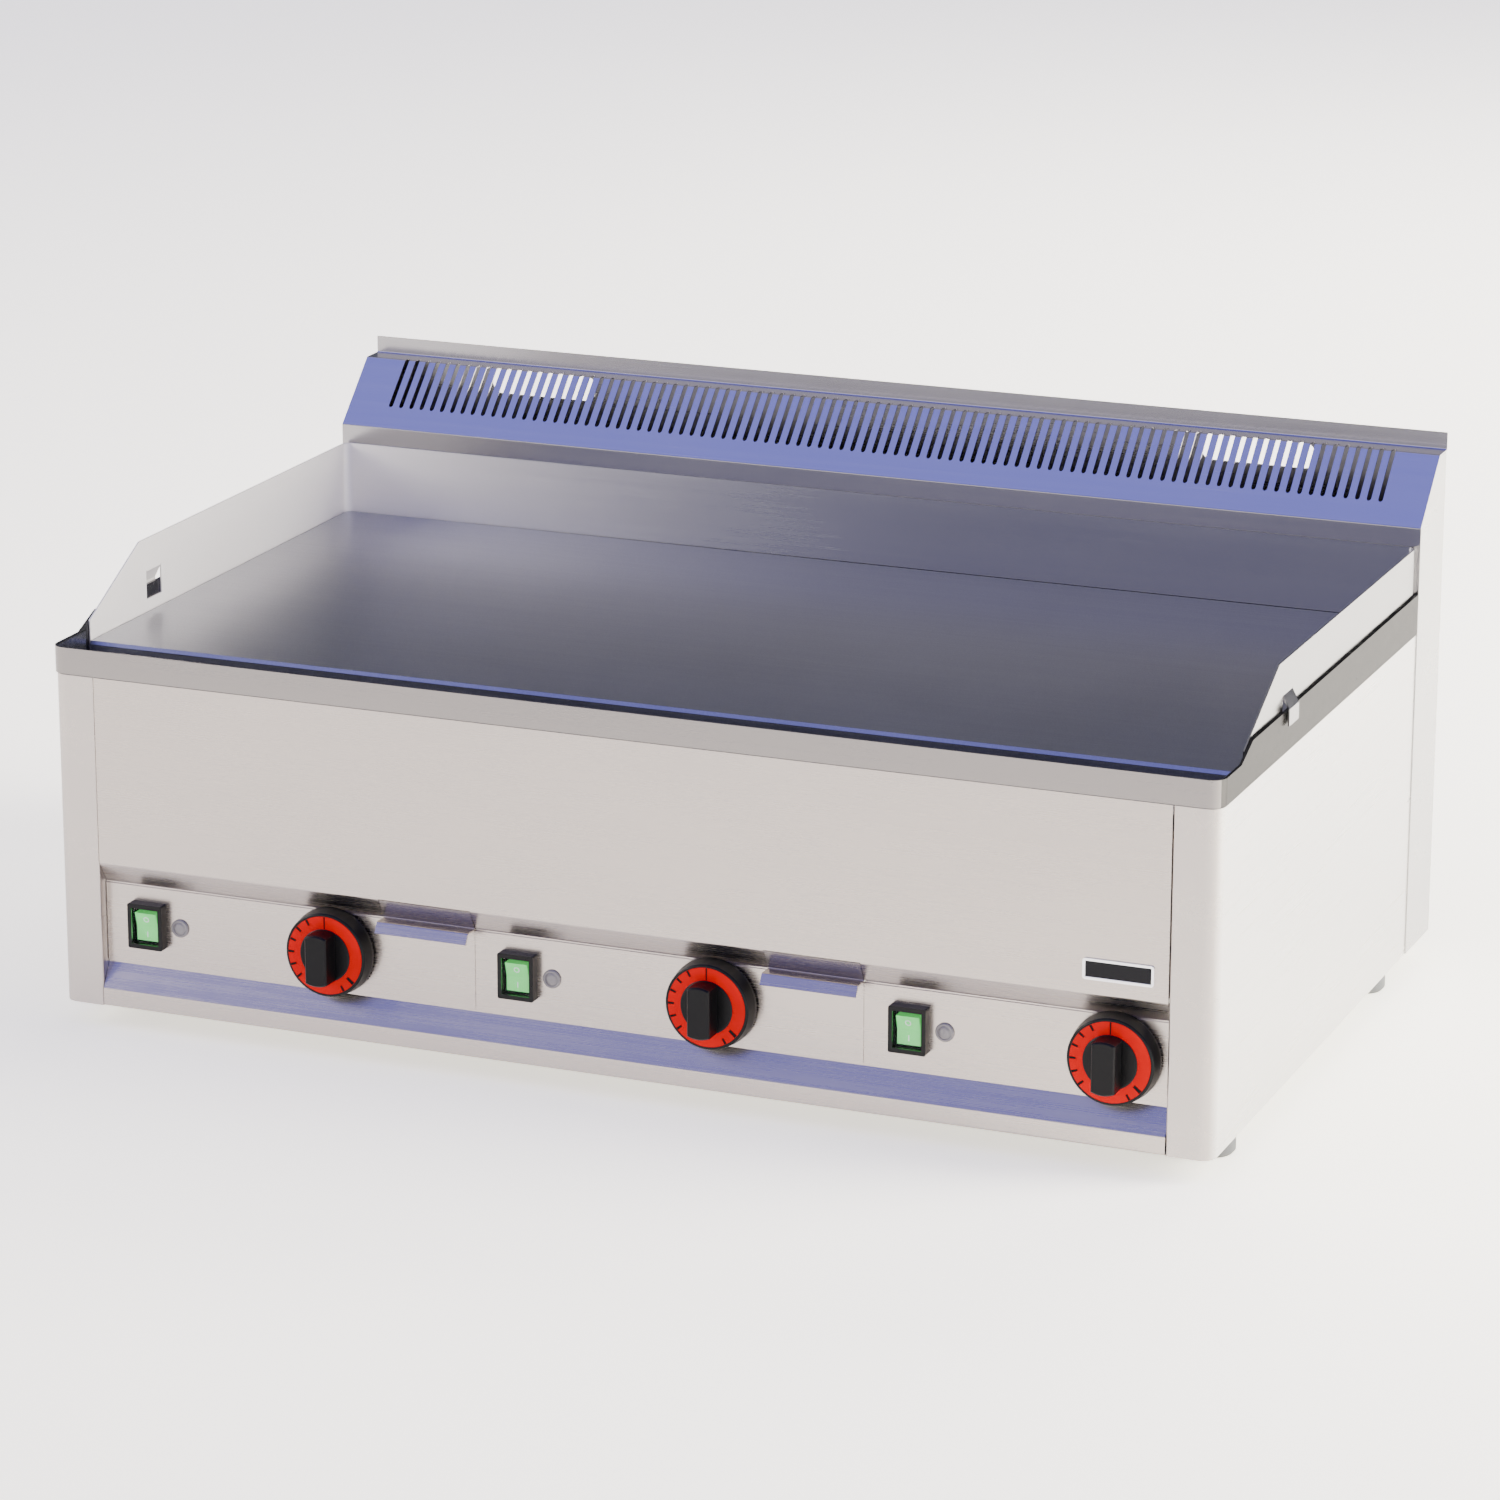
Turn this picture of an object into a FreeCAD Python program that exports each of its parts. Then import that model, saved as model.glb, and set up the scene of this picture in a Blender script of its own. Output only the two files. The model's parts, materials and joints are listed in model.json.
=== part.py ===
"""Electric flat top griddle, 990 mm wide: a counter-top cooking appliance with three heated zones.

Row frame: +X to the user's right, +Y to the back, +Z up; the origin is on the surface that the
feet stand on, below the middle of the griddle. Millimetres.
"""
import FreeCAD, Part
import math
import os

import Sketcher
from FreeCAD import Placement, Rotation, Vector

# ---------------------------------------------------------------- driving dimensions

DRIVING = {
    # whole appliance
    "half_width": 495.0,      # middle to the outside of the top frame
    "front_face": -304.0,     # front of the top frame
    "rear_face": 306.0,       # back of the rear casing
    "foot_height": 20.0,      # surface to the underside of the body
    "sheet_thick": 1.2,       # stainless casing sheet
    "bend": 1.0,              # inside radius of a fold
    "gap": 0.3,               # clearance between neighbouring sheets
    # top frame and its side walls
    "frame_thick": 2.2,
    "frame_low": 300.0,
    "frame_lip": 322.0,       # top of the front lip
    "frame_high": 334.0,      # top of the side walls
    "frame_bend": 12.0,       # outside radius of the front corners
    "step_front": -257.0,     # where the side wall starts to rise
    "step_back": -229.0,      # where it reaches its full height
    # casing
    "panel_inset": 1.0,       # casing behind the face of the top frame
    "post_edge": 456.7,       # inner edge of the side panels' front return
    "post_depth": 16.0,
    "fascia_low": 142.5,      # lower edge of the plain fascia
    "recess_depth": 11.0,     # control face behind the fascia
    "recess_high": 125.0,
    "recess_low": 55.5,
    "sill_high": 35.0,
    "return_depth": 30.0,     # fold under the body
    # grease channel in front of the plate
    "channel_floor": 292.0,
    "channel_back": -247.8,
    "drain_bore": 10.5,
    "spout_radius": 12.0,
    "spout_low": 144.5,
    # griddle plate and what it rests on
    "plate_top": 312.0,
    "plate_thick": 12.0,
    "plate_half": 490.0,
    "plate_front": -246.5,
    "plate_back": 228.2,
    "plate_corner": 6.0,
    "plate_chamfer": 2.5,
    "rail_thick": 3.0,
    "rail_leg": 34.0,
    # splash guard
    "guard_half": 492.4,
    "guard_low": 300.2,
    "guard_top": 374.0,
    "guard_front": -243.0,
    "guard_nose": 328.6,      # top of the upright front edge
    "guard_shoulder": -156.0, # where the sloping front edge reaches the top
    "guard_back": 230.6,
    "guard_bend": 8.0,
    "hook_front": -145.5,
    "hook_width": 26.0,
    "hook_low": 322.3,
    "hook_high": 347.3,
    "hook_reach": 5.6,
    "hook_knee": 335.5,
    # rear air duct
    "duct_front": 231.0,
    "vent_low": 390.5,
    "vent_high": 441.0,
    "vent_back": 283.5,
    "rear_lip": 455.5,
    "slot_half": 2.0,
    "slot_low": 248.9,        # lower end centre, in plan
    "slot_high": 288.0,
    "slot_first": -455.0,
    "slot_run": 910.0,
    "window_middle": 331.0,
    "window_half": 50.0,
    "window_low": 413.5,
    "window_high": 436.0,
    "window_corner": 9.0,
    # control modules
    "seam_right": 207.0,      # joint between the middle and right control plates
    "module_pitch": 331.5,
    "control_height": 92.0,
    "plate_skin": 1.0,
    "control_low": 57.0,
    "control_high": 123.5,
    "switch_offset": 38.8,
    "lamp_offset": 67.0,
    "knob_offset": 206.5,
    # knob
    "knob_base": 36.5,
    "knob_rim": 35.0,
    "knob_gap": 2.4,
    "knob_face": 17.0,
    "knob_hub": 22.0,
    "dial_outer": 32.6,
    "dial_deep": 0.9,
    "grip_half": 9.5,
    "grip_long": 21.6,
    "knob_tip": 35.0,
    "spindle_radius": 3.0,
    # rocker switch
    "switch_half": 15.5,
    "switch_tall": 19.0,
    "switch_proud": 9.0,
    "opening_half": 12.0,
    "opening_tall": 15.2,
    "rocker_half": 9.6,
    # lamp
    "lens_radius": 7.6,
    "lamp_radius": 5.0,
    # grease drawers
    "drawer_width": 80.0,
    "drawer_back": -20.0,
    "tray_high": 140.6,
    "tray_low": 126.8,
    "tab_reach": 13.3,
    "tab_drop": 8.0,
    "tab_lean": 4.7,
    # heating
    "zone_pitch": 326.0,
    "element_radius": 4.0,
    "run_pitch": 50.0,
    "run_front": -180.0,
    "run_back": 148.0,
    "element_height": 295.8,
    "shield_low": 255.0,
    "shield_high": 290.0,
    # feet and base
    "base_floor": 21.4,
    "foot_radius": 18.0,
    "foot_x": 471.0,
    "foot_front": -227.0,
    "foot_back": 190.0,
}

doc = FreeCAD.newDocument("griddle")
sheet = doc.addObject("Spreadsheet::Sheet", "Sizes")


class Size:
    """A length together with the spreadsheet expression that gives it."""

    def __init__(self, text, number):
        self.text, self.number = text, number

    def __add__(self, other):
        other = size(other)
        return Size(f"({self.text} + {other.text})", self.number + other.number)

    def __sub__(self, other):
        other = size(other)
        return Size(f"({self.text} - {other.text})", self.number - other.number)

    def __rsub__(self, other):
        return size(other) - self

    def __mul__(self, factor):
        return Size(f"({self.text} * {factor})", self.number * factor)

    __radd__ = __add__
    __rmul__ = __mul__

    def __neg__(self):
        return self * -1


def size(value):
    """value as a Size: plain numbers stand for themselves."""
    return value if isinstance(value, Size) else Size(f"{value}", float(value))


class Sizes:
    """The driving dimensions by name, each tied to its own cell."""


for row, (alias, number) in enumerate(DRIVING.items(), start=1):
    cell = f"A{row}"
    sheet.set(cell, str(number))
    sheet.setAlias(cell, alias)
    setattr(Sizes, alias, Size(f"Sizes.{alias}", number))
doc.recompute()
S = Sizes

PLANES = {"XY": (0, 1, 2), "XZ": (0, 2, 1), "YZ": (1, 2, 0)}   # drawn axes, then the axis across
nodes = {}

# ---------------------------------------------------------------- sketches


def bind(item, prop, amount):
    item.setExpression(prop, size(amount).text)


def pin(sketch, geometry, point, x, y):
    """Holds a point of the sketch at bound coordinates."""
    for kind, amount in (("DistanceX", size(x)), ("DistanceY", size(y))):
        index = sketch.addConstraint(Sketcher.Constraint(kind, -1, 1, geometry, point, amount.number))
        sketch.setExpression(f"Constraints[{index}]", amount.text)


def polygon(*corners):
    """A closed outline whose corners are bound to the sheet."""
    corners = [(size(x), size(y)) for x, y in corners]

    def draw(sketch):
        first = sketch.GeometryCount
        count = len(corners)
        points = [Vector(x.number, y.number, 0) for x, y in corners]
        for i in range(count):
            sketch.addGeometry(Part.LineSegment(points[i], points[(i + 1) % count]), False)
        for i in range(count):
            sketch.addConstraint(
                Sketcher.Constraint("Coincident", first + i, 2, first + (i + 1) % count, 1))
            pin(sketch, first + i, 1, *corners[i])

    return draw


def rectangle(low_x, low_y, high_x, high_y):
    return polygon((low_x, low_y), (high_x, low_y), (high_x, high_y), (low_x, high_y))


def circle(x, y, radius):
    def draw(sketch):
        index = sketch.GeometryCount
        centre = Vector(size(x).number, size(y).number, 0)
        sketch.addGeometry(Part.Circle(centre, Vector(0, 0, 1), size(radius).number), False)
        pin(sketch, index, 3, x, y)
        made = sketch.addConstraint(Sketcher.Constraint("Radius", index, size(radius).number))
        sketch.setExpression(f"Constraints[{made}]", size(radius).text)

    return draw


def bar(half, radius):
    """A bar across a circle about the origin: straight sides, and ends that follow the circle."""
    half, radius = size(half), size(radius)

    def draw(sketch):
        first = sketch.GeometryCount
        angle = math.asin(half.number / radius.number)
        rise = radius.number * math.cos(angle)
        corner = Vector(half.number, rise, 0)
        opposite = Vector(-half.number, rise, 0)
        whole = Part.Circle(Vector(), Vector(0, 0, 1), radius.number)
        quarter = math.pi / 2
        sketch.addGeometry([
            Part.ArcOfCircle(whole, quarter - angle, quarter + angle),
            Part.LineSegment(opposite, -corner),
            Part.ArcOfCircle(whole, 3 * quarter - angle, 3 * quarter + angle),
            Part.LineSegment(-opposite, corner),
        ], False)
        for i in range(4):
            sketch.addConstraint(
                Sketcher.Constraint("Coincident", first + i, 2, first + (i + 1) % 4, 1))
        for i in (0, 2):
            sketch.addConstraint(Sketcher.Constraint("Coincident", first + i, 3, -1, 1))
        for i, side in ((1, -half), (3, half)):
            sketch.addConstraint(Sketcher.Constraint("Vertical", first + i))
            made = sketch.addConstraint(
                Sketcher.Constraint("DistanceX", -1, 1, first + i, 1, side.number))
            sketch.setExpression(f"Constraints[{made}]", side.text)
        made = sketch.addConstraint(Sketcher.Constraint("Radius", first, radius.number))
        sketch.setExpression(f"Constraints[{made}]", radius.text)

    return draw


def slot(x, low, high, radius):
    """An upright slot with round ends; low and high are the centres of its ends."""
    x, low, high, radius = (size(v) for v in (x, low, high, radius))

    def draw(sketch):
        top, bottom = (Vector(x.number, y.number, 0) for y in (high, low))
        side = Vector(radius.number, 0, 0)
        up = Vector(0, 0, 1)
        first = sketch.GeometryCount
        sketch.addGeometry([
            Part.ArcOfCircle(Part.Circle(top, up, radius.number), 0, math.pi),
            Part.LineSegment(top - side, bottom - side),
            Part.ArcOfCircle(Part.Circle(bottom, up, radius.number), math.pi, 2 * math.pi),
            Part.LineSegment(bottom + side, top + side),
        ], False)
        for i in range(4):
            sketch.addConstraint(Sketcher.Constraint("Tangent", first + i, 2, first + (i + 1) % 4, 1))
        pin(sketch, first, 3, x, high)
        pin(sketch, first + 2, 3, x, low)
        made = sketch.addConstraint(Sketcher.Constraint("Radius", first, radius.number))
        sketch.setExpression(f"Constraints[{made}]", radius.text)

    return draw


def offset_points(points, distance):
    """The points of a polyline's parallel, distance to its left, with mitred corners."""
    flat = [Vector(x.number, y.number, 0) for x, y in points]
    ways = [(b - a).normalize() for a, b in zip(flat, flat[1:])]
    lefts = [Vector(-w.y, w.x, 0) for w in ways]
    result = [flat[0] + lefts[0] * distance]
    for i in range(1, len(flat) - 1):
        across = lefts[i - 1] + lefts[i]
        result.append(flat[i] + across * (2 * distance / across.dot(across)))
    result.append(flat[-1] + lefts[-1] * distance)
    return result


def folded(points, thickness, side):
    """A bent sheet's section. One face follows points; the other lies on their left (1) or right (-1)."""
    points = [(size(x), size(y)) for x, y in points]
    thickness = size(thickness)

    def draw(sketch):
        first = sketch.GeometryCount
        runs = len(points) - 1
        face = [Vector(x.number, y.number, 0) for x, y in points]
        back = offset_points(points, thickness.number * side)
        loop = face + back[::-1]
        for i, start in enumerate(loop):
            sketch.addGeometry(Part.LineSegment(start, loop[(i + 1) % len(loop)]), False)
        for i in range(len(loop)):
            sketch.addConstraint(
                Sketcher.Constraint("Coincident", first + i, 2, first + (i + 1) % len(loop), 1))
        for i, (x, y) in enumerate(points):
            pin(sketch, first + i, 1, x, y)
        for i in range(runs):
            other = first + 2 * runs - i
            sketch.addConstraint(Sketcher.Constraint("Parallel", first + i, other))
            made = sketch.addConstraint(
                Sketcher.Constraint("Distance", other, 1, first + i, thickness.number))
            sketch.setExpression(f"Constraints[{made}]", thickness.text)
        for cap, run in ((first + runs, first + runs - 1), (first + 2 * runs + 1, first)):
            sketch.addConstraint(Sketcher.Constraint("Perpendicular", cap, run))

    return draw


# ---------------------------------------------------------------- features


def new_body(name):
    body = doc.addObject("PartDesign::Body", name)
    body.Label = name
    return body


def profile(body, plane, low, high, drawings):
    """A sketch at the near side of the span from low to high across plane, and the span's length."""
    sketch = body.newObject("Sketcher::SketchObject", f"{body.Name}_sketch")
    role = f"{plane}_Plane"
    support = next(f for f in body.Origin.OriginFeatures if f.Role == role)
    sketch.AttachmentSupport = [(support, "")]
    sketch.MapMode = "FlatFace"
    start = -size(high) if plane == "XZ" else size(low)
    bind(sketch, "AttachmentOffset.Base.z", start)
    for draw in drawings:
        draw(sketch)
    return sketch, size(high) - size(low)


def pad(body, plane, low, high, *drawings):
    sketch, length = profile(body, plane, low, high, drawings)
    feature = body.newObject("PartDesign::Pad", f"{body.Name}_pad")
    feature.Profile = sketch
    bind(feature, "Length", length)
    return feature


def pocket(body, plane, low, high, *drawings):
    sketch, length = profile(body, plane, low, high, drawings)
    doc.recompute()
    before = body.Shape.Volume
    feature = body.newObject("PartDesign::Pocket", f"{body.Name}_pocket")
    feature.Profile = sketch
    feature.Reversed = True
    bind(feature, "Length", length)
    doc.recompute()
    if not body.Shape.Volume < before - 1e-6:
        raise SystemExit(f"{body.Label}: a pocket cuts nothing")
    return feature


def edges_at(shape, plane, spots):
    """Names of the straight edges across plane that stand at any of the spots."""
    first, second, across = PLANES[plane]
    found = []
    for number, edge in enumerate(shape.Edges, start=1):
        if len(edge.Vertexes) != 2:
            continue
        a, b = (v.Point for v in edge.Vertexes)
        if abs(a[first] - b[first]) + abs(a[second] - b[second]) > 1e-4:
            continue
        if any(abs(a[first] - x) + abs(a[second] - y) < 1e-3 for x, y in spots):
            found.append(f"Edge{number}")
    return found


def round_edges(body, plane, spots, radius):
    """Rounds the body's edges that stand across plane at the spots."""
    doc.recompute()
    base = body.Tip
    names = edges_at(base.Shape, plane, [(size(x).number, size(y).number) for x, y in spots])
    if len(names) < len(spots):
        raise SystemExit(f"{body.Label}: found {len(names)} of {len(spots)} edges to round")
    feature = body.newObject("PartDesign::Fillet", f"{body.Name}_fillet")
    feature.Base = (base, names)
    bind(feature, "Radius", radius)
    doc.recompute()
    return feature


def bent_sheet(name, plane, low, high, points, thickness, side, bends):
    """A folded sheet as a body, with an inside radius given for each of its inner points."""
    points = [(size(x), size(y)) for x, y in points]
    body = new_body(name)
    pad(body, plane, low, high, folded(points, thickness, side))
    back = offset_points(points, size(thickness).number * side)
    inner, outer = {}, {}
    for i, radius in enumerate(bends, start=1):
        radius = size(radius)
        a, b, c = (Vector(x.number, y.number, 0) for x, y in points[i - 1:i + 2])
        turn = (b - a).cross(c - b).z
        face, other = points[i], (back[i].x, back[i].y)
        inside, outside = (other, face) if turn * side > 0 else (face, other)
        inner.setdefault(radius.text, (radius, []))[1].append(inside)
        outer.setdefault(radius.text, (radius + thickness, []))[1].append(outside)
    for radius, spots in [*inner.values(), *outer.values()]:
        round_edges(body, plane, spots, radius)
    return body


def block(name, low, high, corners=(), radius=0):
    """A block between two corners, with the named upright edges rounded."""
    body = new_body(name)
    pad(body, "XY", low[2], high[2], rectangle(low[0], low[1], high[0], high[1]))
    if corners:
        sides = {"front": low[1], "back": high[1], "left": low[0], "right": high[0]}
        spots = [(sides[c.split()[1]], sides[c.split()[0]]) for c in corners]
        round_edges(body, "XY", spots, radius)
    return body


def box(name, low, high):
    """A plain box between two corners."""
    item = doc.addObject("Part::Box", name)
    item.Label = name
    for prop, a, b in zip(("Length", "Width", "Height"), low, high):
        bind(item, prop, size(b) - size(a))
    for axis, a in zip("xyz", low):
        bind(item, f"Placement.Base.{axis}", a)
    return item


TURNS = {"x": Rotation(Vector(0, 1, 0), 90), "y": Rotation(Vector(1, 0, 0), -90), "z": Rotation()}


def rod(name, axis, start, length, radius, end_radius=None):
    """A round bar, or a taper if it has an end radius, from start along an axis."""
    kind = "Part::Cylinder" if end_radius is None else "Part::Cone"
    item = doc.addObject(kind, name)
    item.Label = name
    if end_radius is None:
        bind(item, "Radius", radius)
    else:
        bind(item, "Radius1", radius)
        bind(item, "Radius2", end_radius)
    bind(item, "Height", length)
    item.Placement = Placement(Vector(), TURNS[axis])
    for letter, amount in zip("xyz", start):
        bind(item, f"Placement.Base.{letter}", amount)
    return item


def fuse(name, *items):
    item = doc.addObject("Part::MultiFuse", name)
    item.Label = name
    item.Shapes = list(items)
    return item


def cut(name, base, *tools):
    item = doc.addObject("Part::Cut", name)
    item.Label = name
    item.Base = base
    item.Tool = tools[0] if len(tools) == 1 else fuse(f"{name}_tools", *tools)
    return item


def group(name, *items):
    """Separate solids that share one node."""
    item = doc.addObject("Part::Compound", name)
    item.Label = name
    item.Links = list(items)
    return item


def keep(item):
    """Marks an object as a sub-part to write out."""
    nodes[item.Label] = item
    return item


def on_control_face(item, x):
    """Places a piece drawn with x right, y up and z outwards onto the control face at x."""
    item.Placement = Placement(Vector(), Rotation(Vector(1, 0, 0), 90))
    bind(item, "Placement.Base.x", x)
    bind(item, "Placement.Base.y", control_face)
    bind(item, "Placement.Base.z", S.control_height)
    return item


# ---------------------------------------------------------------- derived places

panel_face = S.front_face + S.panel_inset
panel_side = S.half_width - S.panel_inset
recess_face = panel_face + S.recess_depth
control_face = recess_face - S.plate_skin
seam_left = S.seam_right - S.module_pitch
module_left = {"left": seam_left - S.module_pitch, "middle": seam_left, "right": S.seam_right}
drawer_edge = {"left": seam_left, "right": S.seam_right}
panel_top = S.frame_low - 3 * S.gap
PLACES = ("left", "middle", "right")


# ---------------------------------------------------------------- casing


def side_panel(name, sign):
    """One side with its rounded front return, which is the corner post that the user sees."""
    points = [
        (sign * panel_side, S.duct_front + 1),
        (sign * panel_side, panel_face),
        (sign * S.post_edge, panel_face),
        (sign * S.post_edge, panel_face + S.post_depth),
    ]
    bends = [S.frame_bend - S.sheet_thick, S.bend]
    body = bent_sheet(name, "XY", S.foot_height, panel_top, points, S.sheet_thick, -sign, bends)
    clear = [sign * (S.post_edge - 1), sign * (S.post_edge + 30)]
    pocket(body, "XY", S.channel_floor - 0.5, panel_top + 1,
           rectangle(clear[0], panel_face + S.sheet_thick + 0.01, clear[1], panel_face + S.post_depth + 1))
    return keep(body)


def front_panel():
    """Fascia, overhanging strip, recessed control face, sloping band and sill, folded from one sheet."""
    points = [
        (panel_face, panel_top),
        (panel_face, S.fascia_low),
        (recess_face, S.recess_high),
        (recess_face, S.recess_low),
        (panel_face, S.sill_high),
        (panel_face, S.foot_height),
        (panel_face + S.return_depth, S.foot_height),
    ]
    half = S.post_edge - S.gap
    body = bent_sheet("front_panel", "YZ", -half, half, points, S.sheet_thick, 1, [S.bend] * 5)
    deep = recess_face + 5
    high = S.control_height
    for place in PLACES:
        left = module_left[place]
        pocket(
            body, "XZ", panel_face, deep,
            rectangle(left + S.switch_offset - 11.2, high - 14.2, left + S.switch_offset + 11.2, high + 14.2),
            circle(left + S.lamp_offset, high, S.lamp_radius + 0.3),
            circle(left + S.knob_offset, high, S.spindle_radius + 2.5),
        )
    for edge in drawer_edge.values():
        pocket(
            body, "XZ", panel_face - 1, deep,
            rectangle(edge - S.drawer_width - 0.4, S.recess_high - 1.6, edge + 0.4, S.fascia_low + 0.4),
        )
    return keep(body)


def control_plate(place):
    """A thin plate over the control face that carries one zone's switch, lamp and knob."""
    left, high = module_left[place], S.control_height
    edges = {
        "left": (-S.post_edge + 2 * S.gap, seam_left - 0.2),
        "middle": (seam_left + 0.2, S.seam_right - 0.2),
        "right": (S.seam_right + 0.2, S.post_edge - 2 * S.gap),
    }[place]
    body = new_body(f"control_plate_{place}")
    pad(body, "XZ", control_face, recess_face - 0.02,
        rectangle(edges[0], S.control_low, edges[1], S.control_high))
    pocket(
        body, "XZ", control_face - 1, recess_face + 1,
        rectangle(left + S.switch_offset - 11.2, high - 14.2, left + S.switch_offset + 11.2, high + 14.2),
        circle(left + S.lamp_offset, high, S.lamp_radius + 0.3),
        circle(left + S.knob_offset, high, S.spindle_radius + 2.5),
    )
    return keep(body)


def rear_casing():
    """Back wall and the two duct sides, folded from one sheet, with two outlet windows."""
    back, side = S.rear_face, S.half_width
    start = S.duct_front + S.sheet_thick + 0.2
    points = [(-side, start), (-side, back), (side, back), (side, start)]
    top = S.vent_high - S.sheet_thick - S.gap
    body = bent_sheet("rear_casing", "XY", S.foot_height, top, points, S.sheet_thick, -1, [S.bend] * 2)
    slope_drop = 2.0
    pocket(
        body, "YZ", -side - 1, side + 1,
        polygon((S.duct_front, S.vent_low - slope_drop), (S.vent_back, S.vent_high - slope_drop),
                (S.vent_back, S.vent_high + 5), (S.duct_front, S.vent_high + 5)),
    )
    for sign in (-1, 1):
        middle = sign * S.window_middle
        pocket(
            body, "XZ", back - 5, back + 1,
            rectangle(middle - S.window_half, S.window_low, middle + S.window_half, S.window_high),
        )
        corners = [(middle + a * S.window_half, z) for a in (-1, 1) for z in (S.window_low, S.window_high)]
        round_edges(body, "XZ", corners, S.window_corner)
    pocket(body, "XZ", back - 5, back + 1, circle(*gland_spot, gland_thread + 0.3), *[
        circle(x, z, 1.8) for x, z in casing_screw_spots])
    return keep(body)


def duct_cover():
    """Front wall, slotted slope, flat top and rear lip of the air duct, folded from one sheet."""
    side = S.half_width
    points = [
        (S.duct_front, S.frame_low),
        (S.duct_front, S.vent_low),
        (S.vent_back, S.vent_high),
        (S.rear_face - S.sheet_thick, S.vent_high),
        (S.rear_face - S.sheet_thick, S.rear_lip),
    ]
    body = bent_sheet("duct_cover", "YZ", -side, side, points, S.sheet_thick, -1, [S.bend] * 3)
    first = pocket(body, "XY", S.vent_low - 6, S.vent_high + 1,
                   slot(S.slot_first, S.slot_low, S.slot_high, S.slot_half))
    pattern = body.newObject("PartDesign::LinearPattern", "duct_slots")
    pattern.Originals = [first]
    pattern.Direction = (first.Profile[0], ["H_Axis"])
    bind(pattern, "Length", S.slot_run)
    pattern.Occurrences = round(S.slot_run.number / (5 * S.slot_half.number)) + 1
    body.Tip = pattern
    return keep(body)


def base_pan():
    """Floor of the body, with an upturned edge all round and air slots."""
    low = (-panel_side + 1.5, panel_face + 17.5, S.base_floor)
    high = (panel_side - 1.5, S.rear_face - 1.5, S.base_floor + 20)
    wall = S.sheet_thick
    outer = box("base_pan_outer", low, high)
    inner = box("base_pan_inner", (low[0] + wall, low[1] + wall, low[2] + wall),
                (high[0] - wall, high[1] - wall, high[2] + 1))
    vents = new_body("base_pan_vents")
    vent = pad(vents, "XY", S.base_floor - 5, S.base_floor + 5, slot(-400, -60, 90, 2))
    doc.recompute()
    pattern = vents.newObject("PartDesign::LinearPattern", "base_vent_row")
    pattern.Originals = [vent]
    pattern.Direction = (vent.Profile[0], ["H_Axis"])
    pattern.Length = 800
    pattern.Occurrences = 17
    vents.Tip = pattern
    return keep(cut("base_pan", outer, inner, vents))


def feet():
    """Four rubber feet, each with a tapered tread."""
    made = []
    for x in (-S.foot_x, S.foot_x):
        for y in (S.foot_front, S.foot_back):
            number = len(made) + 1
            body = new_body(f"foot_{number}")
            pad(body, "XY", 3, S.base_floor - 0.02, circle(x, y, S.foot_radius))
            tread = rod(f"foot_tread_{number}", "z", (x, y, 0), 3, S.foot_radius - 2.5, S.foot_radius)
            made.append(fuse(f"foot_whole_{number}", body, tread))
    return keep(group("feet", *made))


# ---------------------------------------------------------------- top frame, plate and guard


def top_frame():
    """The rim round the griddle: a front lip, and side walls that step up behind the grease channel."""
    side, front = S.half_width, S.front_face
    points = [(-side, S.duct_front - 0.2), (-side, front), (side, front), (side, S.duct_front - 0.2)]
    inner = S.frame_bend - S.frame_thick
    body = bent_sheet("top_frame", "XY", S.frame_low, S.frame_high, points, S.frame_thick, 1, [inner] * 2)
    pocket(
        body, "YZ", -side - 1, side + 1,
        polygon((front - 5, S.frame_lip), (S.step_front, S.frame_lip), (S.step_back, S.frame_high),
                (S.step_back, S.frame_high + 5), (front - 5, S.frame_high + 5)),
    )
    return keep(body)


def grease_channel():
    """The trough in front of the plate: rounded front corners, two drains and a ledge for the plate."""
    wall, clear = S.sheet_thick, 0.1
    side = S.half_width - S.frame_thick - clear
    front = S.front_face + S.frame_thick + clear
    corners = ("front left", "front right")
    radius = S.frame_bend - 1
    rim = S.frame_lip - 0.8
    outer = block("channel_outer", (-side, front, S.channel_floor), (side, S.channel_back, rim),
                  corners, radius)
    inner = block("channel_inner", (-side + wall, front + wall, S.channel_floor + wall),
                  (side - wall, S.channel_back - wall, rim + 1), corners, radius - wall)
    ledge_top = S.plate_top - S.plate_thick
    behind = box("channel_behind", (-side - 1, S.channel_back - wall - 1, ledge_top),
                 (side + 1, S.channel_back + 1, rim + 1))
    drains = [rod(f"channel_drain_{place}", "z", (edge - S.drawer_width * 0.5, drain_y, S.channel_floor - 1),
                  5, S.drain_bore) for place, edge in drawer_edge.items()]
    trough = cut("channel_trough", outer, inner, behind, *drains)
    ledge = box("channel_ledge", (-456, S.channel_back - wall, ledge_top - wall),
                (456, S.channel_back + 8, ledge_top))
    return keep(fuse("grease_channel", trough, ledge))


def griddle_plate():
    """The thick steel cooking plate, with a chamfered front edge and rounded rear corners."""
    half, low = S.plate_half, S.plate_top - S.plate_thick
    body = new_body("griddle_plate")
    pad(body, "XY", low, S.plate_top, rectangle(-half, S.plate_front, half, S.plate_back))
    round_edges(body, "XY", [(-half, S.plate_back), (half, S.plate_back)], S.plate_corner)
    base = body.Tip
    names = edges_at(base.Shape, "YZ", [(S.plate_front.number, S.plate_top.number)])
    feature = body.newObject("PartDesign::Chamfer", "plate_chamfer_front")
    feature.Base = (base, names)
    bind(feature, "Size", S.plate_chamfer)
    doc.recompute()
    return keep(body)


def plate_rail(name, low, high, upright_low, upright_high):
    """An angle that carries an edge of the plate."""
    ledge_top = S.plate_top - S.plate_thick
    leg = box(f"{name}_leg", (*low, ledge_top - S.rail_thick), (*high, ledge_top - 0.02))
    upright = box(
        f"{name}_upright",
        (*upright_low, ledge_top - 42),
        (*upright_high, ledge_top - S.rail_thick),
    )
    return keep(fuse(name, leg, upright))


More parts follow.
